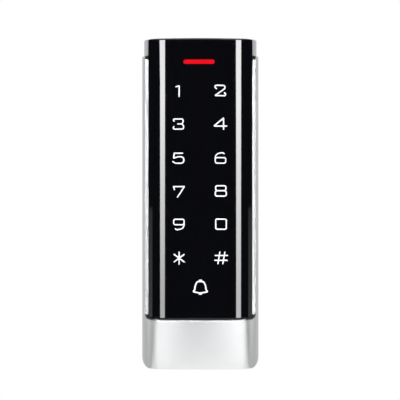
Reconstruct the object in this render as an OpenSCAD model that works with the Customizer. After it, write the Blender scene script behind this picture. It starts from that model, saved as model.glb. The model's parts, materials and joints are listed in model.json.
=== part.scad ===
// Wall-mounted touch keypad and card reader: die-cast housing with a gloss front panel,
// two circuit boards, a sealed rear cover and a folded wall plate that it hooks onto.
// X runs across the reader, +Z up, and the front faces -Y. The wall is the plane y = 0,
// and the origin is the middle of the wall-screw pattern.

/* [Body] */
// Height of the reader
body_h = 148; // [140:1:165]
// Width of the reader
body_w = 53; // [51:0.5:60]
// Depth from the wall to the crown of the chin
body_d = 22; // [22:0.5:26]
// Form of the arched front: slope of the arch where it runs into the long edges
arch_form = "gentle"; // [gentle, round]
// Radius of the long front edges
edge_r = 9; // [8:0.25:10]
// Radius of the two bottom corners, seen from the front
corner_r = 4.8; // [3:0.2:6]
// Wall of the housing
wall = 2; // [1.6:0.1:2.4]
// Thickness of the bottom wall, which holds the screw notch
bottom_wall = 3.5; // [3.2:0.1:4.5]
// Radius of the housing's bottom edge
end_round = 0.5; // [0.2:0.1:0.8]
// Radius of the chin's edge along the panel
chin_round = 0.3; // [0.2:0.1:0.7]

/* [Front panel] */
// Width of the gloss panel
panel_w = 46.6; // [44:0.2:47.2]
// Height of the chin below the panel
chin_h = 22.1; // [19:0.5:26]
// Thickness of the panel
panel_t = 1.6; // [1.2:0.1:2]
// How far the panel lies below the chin
panel_drop = 0.5; // [0.3:0.1:0.8]
// Width of the panel's two bottom corners, which are flat arcs
panel_corner_w = 5.6; // [4:0.2:7]
// Height of the panel's two bottom corners
panel_corner_h = 2.2; // [1.6:0.1:2.6]
// Radius of the panel's end edges
panel_round = 0.8; // [0.2:0.1:1]
// Gap between the panel and the housing round it
panel_gap = 0.15; // [0.1:0.05:0.3]
// Thickness of the adhesive under the panel
adhesive_t = 0.2; // [0.1:0.05:0.3]

/* [Side rails] */
// Height of the plain top end above the rails
top_end_h = 7.4; // [6:0.2:9]
// How far the top end steps in from the rails
top_step = 0.9; // [0.5:0.1:1.2]
// Width of the recess between the outer skins of the rails
rail_recess_w = 50; // [49:0.1:50.4]
// Depth of the flat lands below the crown of the chin
land_drop = 5.4; // [4.6:0.1:5.8]
// Slope of the lands, which face a little outwards
land_slope = 2.5; // [0:0.5:4]
// Height of the notch at the top end of each land
top_notch_h = 1.6; // [1:0.1:2.4]
// Height of the notch at the bottom end of each land
bottom_notch_h = 1.9; // [1.5:0.1:3.5]
// Depth of the notches below the lands
notch_depth = 1.2; // [0.8:0.1:1.3]
// Radius of the recess corners at the chin
recess_corner_r = 2.4; // [1:0.1:2.6]

/* [Keys] */
// Distance between the two key columns
key_pitch_x = 18.8; // [17:0.2:19.4]
// Distance between the key rows
key_pitch_z = 15; // [13:0.2:15.4]
// Number of key rows
key_rows = 6; // [3:1:6]
// Height of the top key row above the origin
top_row_z = 50.7; // [46:0.1:52]
// Height of the bell key's centre
bell_z = -37.3; // [-39:0.1:-35]
// Diameter of the light cell round each key
cell_d = 11; // [8:0.5:12]

/* [Light bar] */
// Length of the status light bar
bar_l = 13.9; // [10:0.1:18]
// Height of the status light bar
bar_h = 1.9; // [1.6:0.1:3]
// Distance of the light bar's centre from the middle
bar_x = -0.6; // [-2:0.1:2]
// Distance from the top of the reader to the light bar
bar_drop = 10.6; // [9.6:0.1:12]

/* [Boards] */
// Gap between the circuit boards and the cover-screw bosses beside them
board_side_gap = 0.8; // [0.6:0.1:2]
// Thickness of both circuit boards
board_t = 1.2; // [0.8:0.1:1.6]
// Distance between the facing sides of the boards
board_space = 3.6; // [3.4:0.1:4]
// Distance from the crown of the panel to the touch board
touch_depth = 4.5; // [4.3:0.1:4.8]
// Distance from the board screws to the long edges of the boards
board_screw_inset_x = 4; // [4:0.25:6]
// Outer diameter of a touch spring
spring_d = 5; // [3.5:0.25:6]
// Wire diameter of a touch spring
spring_wire_d = 0.4; // [0.3:0.05:0.5]
// Turns of a touch spring
spring_turns = 2.5; // [1.5:0.5:3]

/* [Reader coil] */
// Distance from the coil to the long edges of the touch board
coil_inset = 1.5; // [0.5:0.25:4]
// Height of the card reader's coil
coil_h = 66; // [50:1:72]
// Width of the winding
coil_band = 2.4; // [1.5:0.1:4]
// Thickness of the winding
coil_t = 1.5; // [1:0.1:1.6]
// Height of the coil's centre
coil_z = -10; // [-14:0.5:-6]

/* [Rear cover] */
// Thickness of the rear cover
cover_t = 2; // [1.5:0.1:2.2]
// Thickness of the cover seal
seal_t = 0.4; // [0.3:0.1:0.6]
// Distance from the wall to the rear cover
cover_back = 7.5; // [7.4:0.1:8]
// Distance from the cover screws to the housing's side walls
cover_screw_inset = 4.2; // [4:0.1:4.5]
// Diameter of the bosses that take the cover screws
boss_d = 5; // [4.6:0.1:5.4]

/* [Wall plate] */
// Thickness of the wall plate's sheet
plate_t = 1.5; // [1.2:0.1:2]
// Distance between the two wall screws
wall_screw_pitch = 60; // [50:1:70]
// Diameter of the wall-screw holes
wall_hole_d = 4.5; // [4:0.1:5]
// Height of the cable hole's centre
cable_z = -12; // [-16:0.5:14]
// Diameter of the cable passage through the grommet
cable_d = 8; // [6:0.5:9]
// Height of the side flanges that are folded from the plate
flange_h = 4.2; // [3:0.1:4.8]

/* [Clearances] */
// Gap between the wall plate and the housing round it
plate_gap = 0.4; // [0.3:0.1:0.6]
// Gap between the housing's rim and the wall
rim_gap = 0.3; // [0.2:0.1:0.5]
// Gap between parts that lie beside each other
part_gap = 0.3; // [0.2:0.05:0.4]
// Radial clearance of a screw in its hole
screw_gap = 0.06; // [0.03:0.01:0.1]

/* [Hidden] */
$fn = 48;
arch_fn = 240;
edge_fn = 96;
seam_skin = 0.1;
seam_lap = 0.5;
eps = 0.01;
over = 1;

die_cast_color = [0.80, 0.81, 0.83];
gloss_black = [0.02, 0.02, 0.025];
board_green = [0.05, 0.22, 0.12];
steel_color = [0.72, 0.73, 0.75];
mould_black = [0.08, 0.08, 0.09];
seal_grey = [0.25, 0.25, 0.27];
relay_blue = [0.12, 0.25, 0.5];
can_blue = [0.15, 0.15, 0.3];
sensor_tan = [0.8, 0.5, 0.3];
copper = [0.72, 0.42, 0.22];
window_clear = [0.85, 0.9, 0.95];

// Outline in section: a front arc that runs into two edge arcs. The line through the centres of
// both arcs is the long side of a whole-number right triangle, so that they meet exactly tangent.
top_z = body_h / 2;
bottom_z = -body_h / 2;
chin_top_z = bottom_z + chin_h;
front_y = -body_d;
arch_triangle = arch_form == "gentle" ? [17, 144, 145] : [13, 84, 85];
arch_scale = round_to((body_w / 2 - edge_r) / arch_triangle[0], 3);
edge_x = arch_scale * arch_triangle[0];
edge_arc_r = body_w / 2 - edge_x;
arch_r = edge_arc_r + arch_scale * arch_triangle[2];
arch_centre_y = front_y + arch_r;
edge_y = arch_centre_y - arch_scale * arch_triangle[1];

// Depths of the stack, from the front to the wall.
panel_front_y = front_y + panel_drop;
panel_under = panel_drop + panel_t;
pocket_inset = panel_under + adhesive_t;
ledge_t = 1.5;
ledge_inset = pocket_inset + ledge_t;
touch_y = panel_front_y + touch_depth;
touch_back_y = touch_y + board_t;
main_y = touch_back_y + board_space;
main_back_y = main_y + board_t;
cover_back_y = -cover_back;
cover_y = cover_back_y - cover_t;
seat_y = cover_y - seal_t;

// Openings inside the housing.
inner_top_z = top_z - wall;
inner_bottom_z = bottom_z + bottom_wall;
rear_half_w = body_w / 2 - wall;
seal_half_w = rear_half_w - part_gap;
seal_inner_half_w = body_w / 2 - ledge_inset + part_gap;
end_block_h = 6;
end_block_drop = 2;
window_top_z = inner_top_z - end_block_h;
window_bottom_z = chin_top_z + end_block_h - end_block_drop;
chin_cavity_top_z = window_bottom_z - end_block_h;

// Boards and the screws that hang them from the housing's end blocks.
cover_screw_x = rear_half_w - cover_screw_inset;
board_w = 2 * (cover_screw_x - boss_d / 2 - board_side_gap);
window_gap = 1.2;
window_half_w = board_w / 2 + window_gap;
window_corner_r = 2;
board_top_gap = 2;
main_bottom_gap = 4;
board_screw_inset = 2.2;
window_to_screw = 2.4;
board_top_z = inner_top_z - board_top_gap;
board_screw_x = board_w / 2 - board_screw_inset_x;
board_screw_top_z = board_top_z - board_screw_inset;
board_screw_bottom_z = window_bottom_z - window_to_screw;
touch_bottom_z = board_screw_bottom_z - board_screw_inset;
main_bottom_z = inner_bottom_z + main_bottom_gap;
board_screw_r = 1;
board_screw_head_r = 1.9;
board_screw_head_h = 1.2;
board_screw_bite = 1.5;
board_screw_tip_gap = 0.2;
board_cross_size = [2.2, 1, 0.5];
board_corner_r = 1.5;
coil_corner_r = 6;
spacer_af = 4;
board_screw_spots = [
    for (x = [-board_screw_x, board_screw_x], z = [board_screw_top_z, board_screw_bottom_z]) [x, z]
];

// Rails.
land_y = front_y + land_drop;
notch_y = land_y + notch_depth;
top_end_z = top_z - top_end_h;
notch_rise = 0.2;
notch_top_z = top_end_z + notch_rise;
land_top_z = notch_top_z - top_notch_h;
land_bottom_z = chin_top_z + bottom_notch_h;
pocket_half_w = panel_w / 2 + panel_gap;
panel_bottom_z = chin_top_z + panel_gap;
panel_corner_r =
    round_to((pow(panel_corner_w, 2) + pow(panel_corner_h, 2)) / (2 * panel_corner_h), 2);
panel_corner_x = panel_w / 2 - panel_corner_w;
land_large_share = 0.6;
land_small_share = 0.35;
rail_wrap = 3.2;
rail_pad_t = 0.7;
rail_pad_gap = 0.05;

// Keys: two columns of number keys, and the bell key in the middle below them.
key_x = key_pitch_x / 2;
number_spots = [
    for (row = [0 : key_rows - 1], x = [-key_x, key_x]) [x, top_row_z - row * key_pitch_z]
];
key_spots = concat(number_spots, [[0, bell_z]]);
bar_z = top_z - bar_drop;
bar_flange = 0.7;
bar_flange_t = 0.8;
bar_gap = 0.08;
bar_sink = 0.03;
led_size = [1.6, 0.7, 0.8];
status_led_pitch = 5;

// Cover screws and their bosses.
cover_screw_inset_z = 5.5;
cover_screw_r = 1.25;
cover_screw_head_r = 2.3;
cover_screw_head_h = 1.2;
cover_screw_bite = 4.5;
cover_screw_tip_gap = 0.3;
cross_size = [2.4, 1.4, 0.6];
cover_corner_r = 1.5;
seal_band = 1.5;
seal_corner_r = 1;
boss_setback = 0.4;
boss_front_y = edge_y - (edge_arc_r - ledge_inset) + boss_setback;
cover_screw_rows = [inner_top_z - cover_screw_inset_z, 0, inner_bottom_z + cover_screw_inset_z];
cover_screw_spots = [for (x = [-cover_screw_x, cover_screw_x], z = cover_screw_rows) [x, z]];

// Wall plate, its hooks at the top and its screw tab at the bottom.
plate_half_w = rear_half_w - plate_gap;
hook_inset = 13.5;
hook_x = rear_half_w - hook_inset;
hook_w = 8;
rib_margin = 3;
rib_half_w = hook_x + hook_w / 2 + rib_margin;
rib_y = -2.2;
rib_t = 1.4;
rib_h = 1.4;
hook_gap = 0.3;
hook_top_z = inner_top_z - rib_h - hook_gap;
lip_gap = 1.2;
tilt_bevel = 0.75;
lip_y = rib_y - rib_t - lip_gap;
lip_top_gap = 0.4;
lip_top_z = inner_top_z - lip_top_gap;
plate_corner_r = 3;
tab_gap = 0.5;
tab_half_w = 7;
tab_z = inner_bottom_z + tab_gap;
screw_y = -4.6;
screw_r = 1.5;
screw_head_r = 2.85;
screw_head_h = 1.65;
screw_head_gap = 0.1;
screw_seat_z = bottom_z + screw_head_h + screw_head_gap;
screw_slot_gap = 0.2;
screw_slot_half_w = screw_r + screw_slot_gap;
screw_recess_gap = 0.35;
screw_recess_half_w = screw_head_r + screw_recess_gap;
hex_key_af = 2;
hex_key_depth = 1.15;
screw_head_end_r = 2.15;
nut_r = 2.5;
nut_h = 2;
tab_margin = 0.1;
tab_front_y = screw_y - nut_r - tab_margin;
screw_end_h = 0.5;
screw_top_z = tab_z + plate_t + nut_h + screw_end_h;
flange_margin = 25;
flange_half_l = wall_screw_pitch / 2 + flange_margin;

// Cable grommet in the plate.
grommet_wall = 2.6;
grommet_lip = 1.4;
grommet_hole_r = cable_d / 2 + grommet_wall;
grommet_flange_r = grommet_hole_r + grommet_lip;
grommet_flange_t = 1.1;
grommet_gap = 0.05;

// Electrical parts on the main board.
socket_z = -34;
socket_size = [25, 0, 6];
socket_rise = 2.6;
socket_back_y = cover_back_y + socket_rise;
socket_way_share = [0.7, 0.5];
socket_ways = 8;
socket_pitch = 2.5;
sensor_x = 10;
sensor_z = 22;
sensor_r = 2;
window_r = 3;
window_lip = 1;
window_lip_t = 0.8;
chip_size = 10;
chip_h = 1.4;
chip_drop = 30;
chip_spot = [7, board_top_z - chip_drop];
lead_pitch = 0.8;
leads_per_side = 10;
lead_size = [0.4, 1];
regulator_spot = [-8, board_top_z - chip_drop];
regulator_size = [6.5, 2.3, 6.1];
regulator_tab = [5.2, 0.5, 1];
regulator_leg = [0.8, 0.8, 2];
regulator_leg_x = 2.3;
link_size = [25.4, 5];
link_drop = 14;
link_z = board_top_z - link_drop;
chin_mid_z = (main_bottom_z + chin_cavity_top_z) / 2;
relay_size = [15, 6.4, 7.5];
relay_inset = 8.4;
relay_x = relay_inset - board_w / 2;
buzzer_r = 4.5;
buzzer_h = 5;
buzzer_x = 4.8;
buzzer_hole_r = 1;
buzzer_hole_depth = 1;
cap_r = 2.4;
cap_h = 5.4;
cap_inset = 3.8;
cap_x = board_w / 2 - cap_inset;

function round_to(value, digits) = round(value * pow(10, digits)) / pow(10, digits);
// Half width of the line through both arc centres, at depth y.
function tangent_line_x(y) = edge_x * (arch_centre_y - y) / (arch_centre_y - edge_y);

// Half of an outline: w wide from x = 0, from z0 to z1, with its outer corners rounded by true arcs.
module half_outline(w, z0, z1, round0, round1) {
    translate([0, z0 + round0]) square([w, z1 - z0 - round0 - round1]);
    translate([0, z0]) square([w - max(round0, round1), z1 - z0]);
    if (round0 > 0) {
        translate([0, z0]) square([w - round0, round0]);
        translate([w - round0, z0 + round0]) circle(round0);
    }
    if (round1 > 0) {
        translate([0, z1 - round1]) square([w - round1, round1]);
        translate([w - round1, z1 - round1]) circle(round1);
    }
}

// The reader's arched form, drawn in by inset all round, from z0 to z1 and back to back_y.
// round0 and round1 are the radii of its bottom and top edges.
module arched(inset, z0, z1, back_y = -rim_gap, round0 = 0, round1 = 0) {
    half_w = body_w / 2 - inset;
    far_y = front_y - over;
    far_x = tangent_line_x(far_y);
    depth_prism(edge_y, back_y)
        for (side = [0, 1])
            mirror([side, 0])
                half_outline(half_w, z0, z1, round0, round1);
    intersection() {
        translate([0, arch_centre_y, 0])
            rotate_extrude($fn = arch_fn)
                half_outline(arch_r - inset, z0, z1, round0, round1);
        height_prism(z0 - over, z1 + over)
            polygon([[-edge_x, edge_y], [edge_x, edge_y], [far_x, far_y], [-far_x, far_y]]);
    }
    for (side = [0, 1])
        mirror([side, 0, 0])
            intersection() {
                translate([edge_x, edge_y, 0])
                    rotate_extrude($fn = edge_fn)
                        half_outline(edge_arc_r - inset, z0, z1, round0, round1);
                height_prism(z0 - over, z1 + over)
                    polygon([[edge_x, edge_y], [body_w, edge_y], [body_w, far_y], [far_x, far_y]]);
            }
    height_prism(z0 + round0, z1 - round1)
        polygon(bonding_core(half_w, edge_arc_r - inset - seam_skin));
}

// A convex core just inside the arched section, which bonds its sectors to each other.
function bonding_core(half_w, reach) =
    let (slope = atan2(arch_centre_y - edge_y, edge_x),
         x0 = half_w - seam_skin,
         x1 = edge_x + reach * cos(slope),
         y1 = edge_y - reach * sin(slope))
    [
        [-x0, edge_y + seam_lap], [x0, edge_y + seam_lap], [x0, edge_y - seam_lap / 2], [x1, y1],
        [-x1, y1], [-x0, edge_y - seam_lap / 2]
    ];

// A box between two corners.
module block(low, high)
    translate(low) cube(high - low);

// A prism along Y, from y0 to y1, over a 2D shape drawn in X and Z.
module depth_prism(y0, y1)
    translate([0, y1, 0]) rotate([90, 0, 0]) linear_extrude(y1 - y0) children();

// A prism along Z, from z0 to z1, over a 2D shape drawn in X and Y.
module height_prism(z0, z1)
    translate([0, 0, z0]) linear_extrude(z1 - z0) children();

// A cylinder along Y, from y0 to y1.
module pin(spot, y0, y1, r0, r1 = undef)
    translate([spot[0], y1, spot[1]])
        rotate([90, 0, 0])
            cylinder(h = y1 - y0, r1 = is_undef(r1) ? r0 : r1, r2 = r0);

// A rectangle between half widths and heights, with its corners rounded by true arcs.
module round_rect(half_w, z0, z1, r) {
    translate([-half_w + r, z0]) square([2 * (half_w - r), z1 - z0]);
    translate([-half_w, z0 + r]) square([2 * half_w, z1 - z0 - 2 * r]);
    for (x = [-half_w + r, half_w - r], z = [z0 + r, z1 - r])
        translate([x, z]) circle(r);
}

// The light bar's outline with round ends, grown by grow.
module bar_outline(grow = 0) {
    r = bar_h / 2 + grow;
    reach = (bar_l - bar_h) / 2;
    translate([bar_x - reach, bar_z - r]) square([2 * reach, 2 * r]);
    for (side = [-1, 1])
        translate([bar_x + side * reach, bar_z]) circle(r);
}

// The panel's outline grown by grow: its sides, and bottom corners that are arcs wider than high.
module panel_outline(grow, z1) {
    half_w = panel_w / 2 + grow;
    r = panel_corner_r + grow;
    z0 = panel_bottom_z - grow;
    intersection() {
        translate([-half_w, z0]) square([2 * half_w, z1 - z0]);
        union() {
            translate([-panel_corner_x, z0]) square([2 * panel_corner_x, z1 - z0]);
            translate([-half_w - over, z0 + r]) square([2 * (half_w + over), z1 - z0 - r]);
            for (x = [-panel_corner_x, panel_corner_x])
                translate([x, z0 + r]) circle(r, $fn = edge_fn);
        }
    }
}

// The front outline with only its two bottom corners rounded.
module bottom_rounded(half_w, z0, z1, r) {
    translate([-half_w, z0 + r]) square([2 * half_w, z1 - z0 - r]);
    translate([-half_w + r, z0]) square([2 * (half_w - r), r + over]);
    for (x = [-half_w + r, half_w - r])
        translate([x, z0 + r]) circle(r);
}

// ---- Wall side ----

module back_plate() {
    color(steel_color)
        difference() {
            union() {
                depth_prism(-plate_t, 0)
                    round_rect(plate_half_w, tab_z, hook_top_z, plate_corner_r);
                for (side = [0, 1])
                    mirror([side, 0, 0])
                        block([plate_half_w - plate_t, -plate_t - flange_h, -flange_half_l],
                              [plate_half_w, -plate_t / 2, flange_half_l]);
                for (x = [-hook_x, hook_x]) {
                    block([x - hook_w / 2, lip_y - plate_t, hook_top_z - plate_t],
                          [x + hook_w / 2, -plate_t / 2, hook_top_z]);
                    block([x - hook_w / 2, lip_y - plate_t, hook_top_z - plate_t],
                          [x + hook_w / 2, lip_y, lip_top_z]);
                }
                block([-tab_half_w, tab_front_y, tab_z], [tab_half_w, -plate_t / 2, tab_z + plate_t]);
            }
            for (z = [-wall_screw_pitch / 2, wall_screw_pitch / 2])
                pin([0, z], -plate_t - over, over, wall_hole_d / 2);
            pin([0, cable_z], -plate_t - over, over, grommet_hole_r);
            translate([0, screw_y, tab_z - over])
                cylinder(h = plate_t + 2 * over, r = screw_r + screw_gap);
        }
}

module cable_grommet() {
    color(mould_black)
        translate([0, 0, cable_z])
            rotate([90, 0, 0])
                rotate_extrude()
                    difference() {
                        union() {
                            translate([cable_d / 2, grommet_gap])
                                square([grommet_hole_r - grommet_gap - cable_d / 2,
                                        plate_t + grommet_flange_t]);
                            translate([cable_d / 2, plate_t + grommet_gap])
                                square([grommet_flange_r - cable_d / 2, grommet_flange_t]);
                        }
                        translate([grommet_flange_r, plate_t + grommet_flange_t + grommet_gap])
                            rotate(45) square(grommet_flange_t / 2, center = true);
                    }
}

module clinch_nut() {
    color(steel_color)
        translate([0, screw_y, tab_z + plate_t])
            difference() {
                cylinder(h = nut_h, r = nut_r);
                translate([0, 0, -over]) cylinder(h = nut_h + 2 * over, r = screw_r + screw_gap);
            }
}

module security_screw() {
    head_top_z = screw_seat_z - screw_head_gap;
    color(steel_color)
        translate([0, screw_y, 0])
            difference() {
                union() {
                    translate([0, 0, head_top_z - eps])
                        cylinder(h = screw_top_z - head_top_z + eps, r = screw_r);
                    translate([0, 0, bottom_z])
                        cylinder(h = screw_head_h / 2, r1 = screw_head_end_r, r2 = screw_head_r);
                    translate([0, 0, bottom_z + screw_head_h / 2])
                        cylinder(h = screw_head_h / 2, r = screw_head_r);
                }
                translate([0, 0, bottom_z - over])
                    cylinder(h = over + hex_key_depth, r = hex_key_af / 2 / cos(30), $fn = 6);
            }
}

// ---- Housing ----

// The cast outer form: the chin, the full section behind the panel, and the top end, which
// steps in.
module housing_form() {
    intersection() {
        arched(0, bottom_z, chin_top_z, round0 = end_round, round1 = chin_round);
        depth_prism(front_y - over, over)
            bottom_rounded(body_w / 2, bottom_z, top_z + over, corner_r);
    }
    difference() {
        arched(0, chin_top_z - chin_round, top_end_z);
        chin_edge_room();
    }
    arched(top_step, top_end_z - over, top_z);
}

// Keeps the section behind the panel clear of the chin's rounded edge between the corners.
module chin_edge_room() {
    difference() {
        block([-panel_corner_x, front_y - over, chin_top_z - chin_round - over],
              [panel_corner_x, edge_y, chin_top_z]);
        arched(chin_round, bottom_z, top_z);
    }
}

// Everything inside that is open to the rear.
module housing_cavity() {
    block([-rear_half_w, seat_y, inner_bottom_z], [rear_half_w, over, inner_top_z]);
    arched(ledge_inset, window_bottom_z, window_top_z, back_y = seat_y + over);
    block([-window_half_w, touch_y, chin_cavity_top_z], [window_half_w, seat_y + over, inner_top_z]);
    intersection() {
        arched(wall, inner_bottom_z, chin_cavity_top_z + eps, back_y = seat_y + over);
        block([-body_w / 2 + ledge_inset, front_y, bottom_z], [body_w / 2 - ledge_inset, over, 0]);
    }
}

// The recess for the panel and, beside it, the side rails with their lands left standing.
module panel_recess() {
    difference() {
        depth_prism(front_y - over, seat_y) pocket_outline();
        arched(pocket_inset, bottom_z, top_z + over, back_y = seat_y + over);
    }
    for (side = [0, 1])
        mirror([side, 0, 0])
            difference() {
                depth_prism(front_y - over, notch_y) rail_outline();
                land();
            }
}

module pocket_outline(gap = 0)
    panel_outline(panel_gap + gap, top_z + over);

// One rail seen from the front. Below, it runs a little way round the panel's corner.
module rail_outline(gap = 0)
    difference() {
        intersection() {
            bottom_rounded(rail_recess_w / 2 - gap, chin_top_z + gap, notch_top_z - gap,
                           recess_corner_r - gap);
            translate([pocket_half_w - rail_wrap + gap, bottom_z]) square([body_w, body_h]);
        }
        pocket_outline(gap);
    }

// One land seen from the front. It narrows towards the housing's middle at its lower end and
// towards the rail at its upper end.
module land_outline(gap = 0) {
    x0 = pocket_half_w - gap;
    x1 = rail_recess_w / 2 + gap;
    middle_z = (land_bottom_z + land_top_z) / 2;
    translate([x0 - over, land_bottom_z + x1 - x0])
        square([x1 - x0 + 2 * over, land_top_z - land_bottom_z - 2 * (x1 - x0)]);
    land_end(x0, x1, land_bottom_z - gap, middle_z, land_small_share, land_large_share);
    translate([0, 2 * middle_z])
        mirror([0, 1])
            land_end(x0, x1, land_bottom_z - gap, middle_z, land_large_share, land_small_share);
}

// The lower half of a land between x0 and x1, with its two corner radii as shares of its width.
module land_end(x0, x1, z0, z1, inner_share, outer_share) {
    inner_r = (x1 - x0) * inner_share;
    outer_r = (x1 - x0) * outer_share;
    translate([x0 + inner_r, z0]) square([x1 - x0 - inner_r - outer_r, z1 - z0]);
    translate([x0, z0 + inner_r]) square([x1 - x0 - outer_r, z1 - z0 - inner_r]);
    translate([x0 + inner_r, z0 + outer_r]) square([x1 - x0 - inner_r, z1 - z0 - outer_r]);
    translate([x0 + inner_r, z0 + inner_r]) circle(inner_r);
    translate([x1 - outer_r, z0 + outer_r]) circle(outer_r);
}

// One land, turned a little outwards about its inner edge.
module land()
    translate([pocket_half_w, land_y, 0])
        rotate([0, 0, land_slope])
            translate([-pocket_half_w, -land_y, 0])
                depth_prism(land_y, notch_y + over) land_outline();

// Black fillers on the floors of the notches at both ends of each land.
module rail_pads() {
    color(mould_black)
        for (side = [0, 1])
            mirror([side, 0, 0])
                depth_prism(notch_y - rail_pad_t, notch_y)
                    difference() {
                        rail_outline(rail_pad_gap);
                        land_outline(rail_pad_gap);
                    }
}

module housing() {
    color(die_cast_color)
        difference() {
            union() {
                difference() {
                    housing_form();
                    housing_cavity();
                }
                for (spot = cover_screw_spots)
                    pin(spot, boss_front_y, cover_y, boss_d / 2);
                block([-rib_half_w, rib_y - rib_t, inner_top_z - rib_h],
                      [rib_half_w, rib_y, inner_top_z + eps]);
            }
            panel_recess();
            depth_prism(front_y - over, touch_y + over)
                round_rect(window_half_w, window_bottom_z, window_top_z, window_corner_r);
            for (spot = cover_screw_spots)
                pin(spot, cover_y - cover_screw_bite, cover_y + over, cover_screw_r + screw_gap);
            for (spot = board_screw_spots)
                pin(spot, touch_y - board_screw_bite - board_screw_tip_gap, touch_y + over,
                    board_screw_r + screw_gap);
            screw_notch();
            top_rear_bevel();
        }
}

// Open to the rear, so that the reader swings off its loosened screw.
module screw_notch() {
    block([-screw_slot_half_w, screw_y, bottom_z - over],
          [screw_slot_half_w, over, inner_bottom_z + over]);
    block([-screw_recess_half_w, screw_y, bottom_z - over],
          [screw_recess_half_w, over, screw_seat_z]);
    translate([0, screw_y, bottom_z - over]) {
        cylinder(h = bottom_wall + 2 * over, r = screw_slot_half_w);
        cylinder(h = screw_seat_z - bottom_z + over, r = screw_recess_half_w);
    }
}

// The edge that the reader tilts on.
module top_rear_bevel()
    translate([-body_w / 2 - over, -rim_gap, top_z])
        rotate([45, 0, 0])
            cube([body_w + 2 * over, tilt_bevel, tilt_bevel]);

// ---- Front ----

module front_panel() {
    color(gloss_black)
        difference() {
            intersection() {
                arched(panel_drop, panel_bottom_z, top_z, back_y = seat_y,
                       round0 = panel_round, round1 = panel_round);
                depth_prism(front_y - over, seat_y) panel_outline(0, top_z + over);
            }
            arched(panel_under, bottom_z, top_z + over, back_y = over);
            depth_prism(front_y - over, touch_y) bar_outline(bar_gap);
        }
}

module panel_adhesive() {
    color(mould_black)
        intersection() {
            difference() {
                arched(panel_under, bottom_z, top_z + over, back_y = seat_y);
                arched(pocket_inset, bottom_z - over, top_z + 2 * over, back_y = over);
            }
            depth_prism(front_y - over, edge_y)
                difference() {
                    panel_outline(-part_gap, top_z - panel_round);
                    round_rect(window_half_w, window_bottom_z, window_top_z, window_corner_r);
                }
        }
}

module status_light_bar() {
    bar_back_y = touch_y - led_size[1] - part_gap;
    flange_back_y = panel_front_y + panel_t + bar_flange_t;
    color("red") {
        intersection() {
            arched(panel_drop + bar_sink, bottom_z, top_z);
            depth_prism(front_y, bar_back_y) bar_outline();
        }
        intersection() {
            arched(panel_under + bar_sink, bottom_z, top_z);
            depth_prism(front_y, flange_back_y) bar_outline(bar_flange);
        }
    }
}

// Keeps the light of each key and of the bar to itself.
module light_mask() {
    color(mould_black)
        difference() {
            intersection() {
                arched(panel_under + part_gap, bottom_z, top_z);
                depth_prism(front_y, touch_y - eps)
                    round_rect(window_half_w - part_gap, window_bottom_z + part_gap,
                               window_top_z - part_gap, window_corner_r - part_gap);
            }
            for (spot = key_spots)
                pin(spot, front_y, touch_y + over, cell_d / 2);
            depth_prism(front_y, touch_y + over) bar_outline(bar_flange + part_gap);
        }
}

// ---- Boards ----

module board(y, bottom) {
    difference() {
        depth_prism(y, y + board_t)
            round_rect(board_w / 2, bottom, board_top_z, board_corner_r);
        for (spot = board_screw_spots)
            pin(spot, y - over, y + board_t + over, board_screw_r + screw_gap);
    }
}

module touch_board()
    color(board_green) board(touch_y, touch_bottom_z);

// Sweeps a round wire along a helix. The ring count follows the turns.
module touch_spring(height) {
    sides = 5;
    steps_per_turn = 10;
    rings = round(spring_turns * steps_per_turn);
    coil_r = (spring_d - spring_wire_d) / 2;
    wire_r = spring_wire_d / 2;
    rise = height - spring_wire_d;
    points = [
        for (i = [0 : rings], k = [0 : sides - 1])
            let (turn = 360 * i / steps_per_turn, side = 360 * k / sides,
                 r = coil_r + wire_r * cos(side))
            [r * cos(turn), r * sin(turn), wire_r + rise * i / rings + wire_r * sin(side)]
    ];
    skin = [
        for (i = [0 : rings - 1], k = [0 : sides - 1])
            let (a = i * sides + k, b = i * sides + (k + 1) % sides)
            [a, b, b + sides, a + sides]
    ];
    cap0 = [for (k = [0 : sides - 1]) sides - 1 - k];
    cap1 = [for (k = [0 : sides - 1]) rings * sides + k];
    polyhedron(points, concat([cap0], skin, [cap1]), convexity = 4);
}

// Depth of the panel's under side at a distance x from the middle.
function panel_under_y(x) =
    arch_centre_y - sqrt(pow(arch_r - panel_under, 2) - pow(x, 2));

module touch_springs() {
    color("gold")
        for (spot = key_spots)
            translate([spot[0], touch_y - eps, spot[1]])
                rotate([90, 0, 0])
                    touch_spring(touch_y - panel_under_y(abs(spot[0]) + spring_d / 2) - 2 * eps);
}

module led(x, z)
    translate([x, touch_y - led_size[1] / 2, z]) cube(led_size, center = true);

module backlight_leds() {
    color("white")
        for (spot = key_spots)
            led(spot[0], spot[1]);
}

module status_leds() {
    color("mistyrose")
        for (i = [-1 : 1])
            led(bar_x + i * status_led_pitch, bar_z);
}

module reader_coil() {
    half_w = board_w / 2 - coil_inset;
    half_h = coil_h / 2;
    color(copper)
        depth_prism(touch_back_y, touch_back_y + coil_t)
            difference() {
                round_rect(half_w, coil_z - half_h, coil_z + half_h, coil_corner_r);
                round_rect(half_w - coil_band, coil_z - half_h + coil_band,
                           coil_z + half_h - coil_band, coil_corner_r - coil_band);
            }
}

module board_spacers() {
    color("goldenrod")
        for (spot = board_screw_spots)
            difference() {
                translate([spot[0], main_y, spot[1]])
                    rotate([90, 0, 0])
                        cylinder(h = board_space, r = spacer_af / 2 / cos(30), $fn = 6);
                pin(spot, touch_back_y - over, main_y + over, board_screw_r + screw_gap);
            }
}

module main_board()
    color(board_green) board(main_y, main_bottom_z);

module board_link() {
    color(mould_black)
        block([-link_size[0] / 2, touch_back_y, link_z - link_size[1] / 2],
              [link_size[0] / 2, main_y, link_z + link_size[1] / 2]);
}

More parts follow.
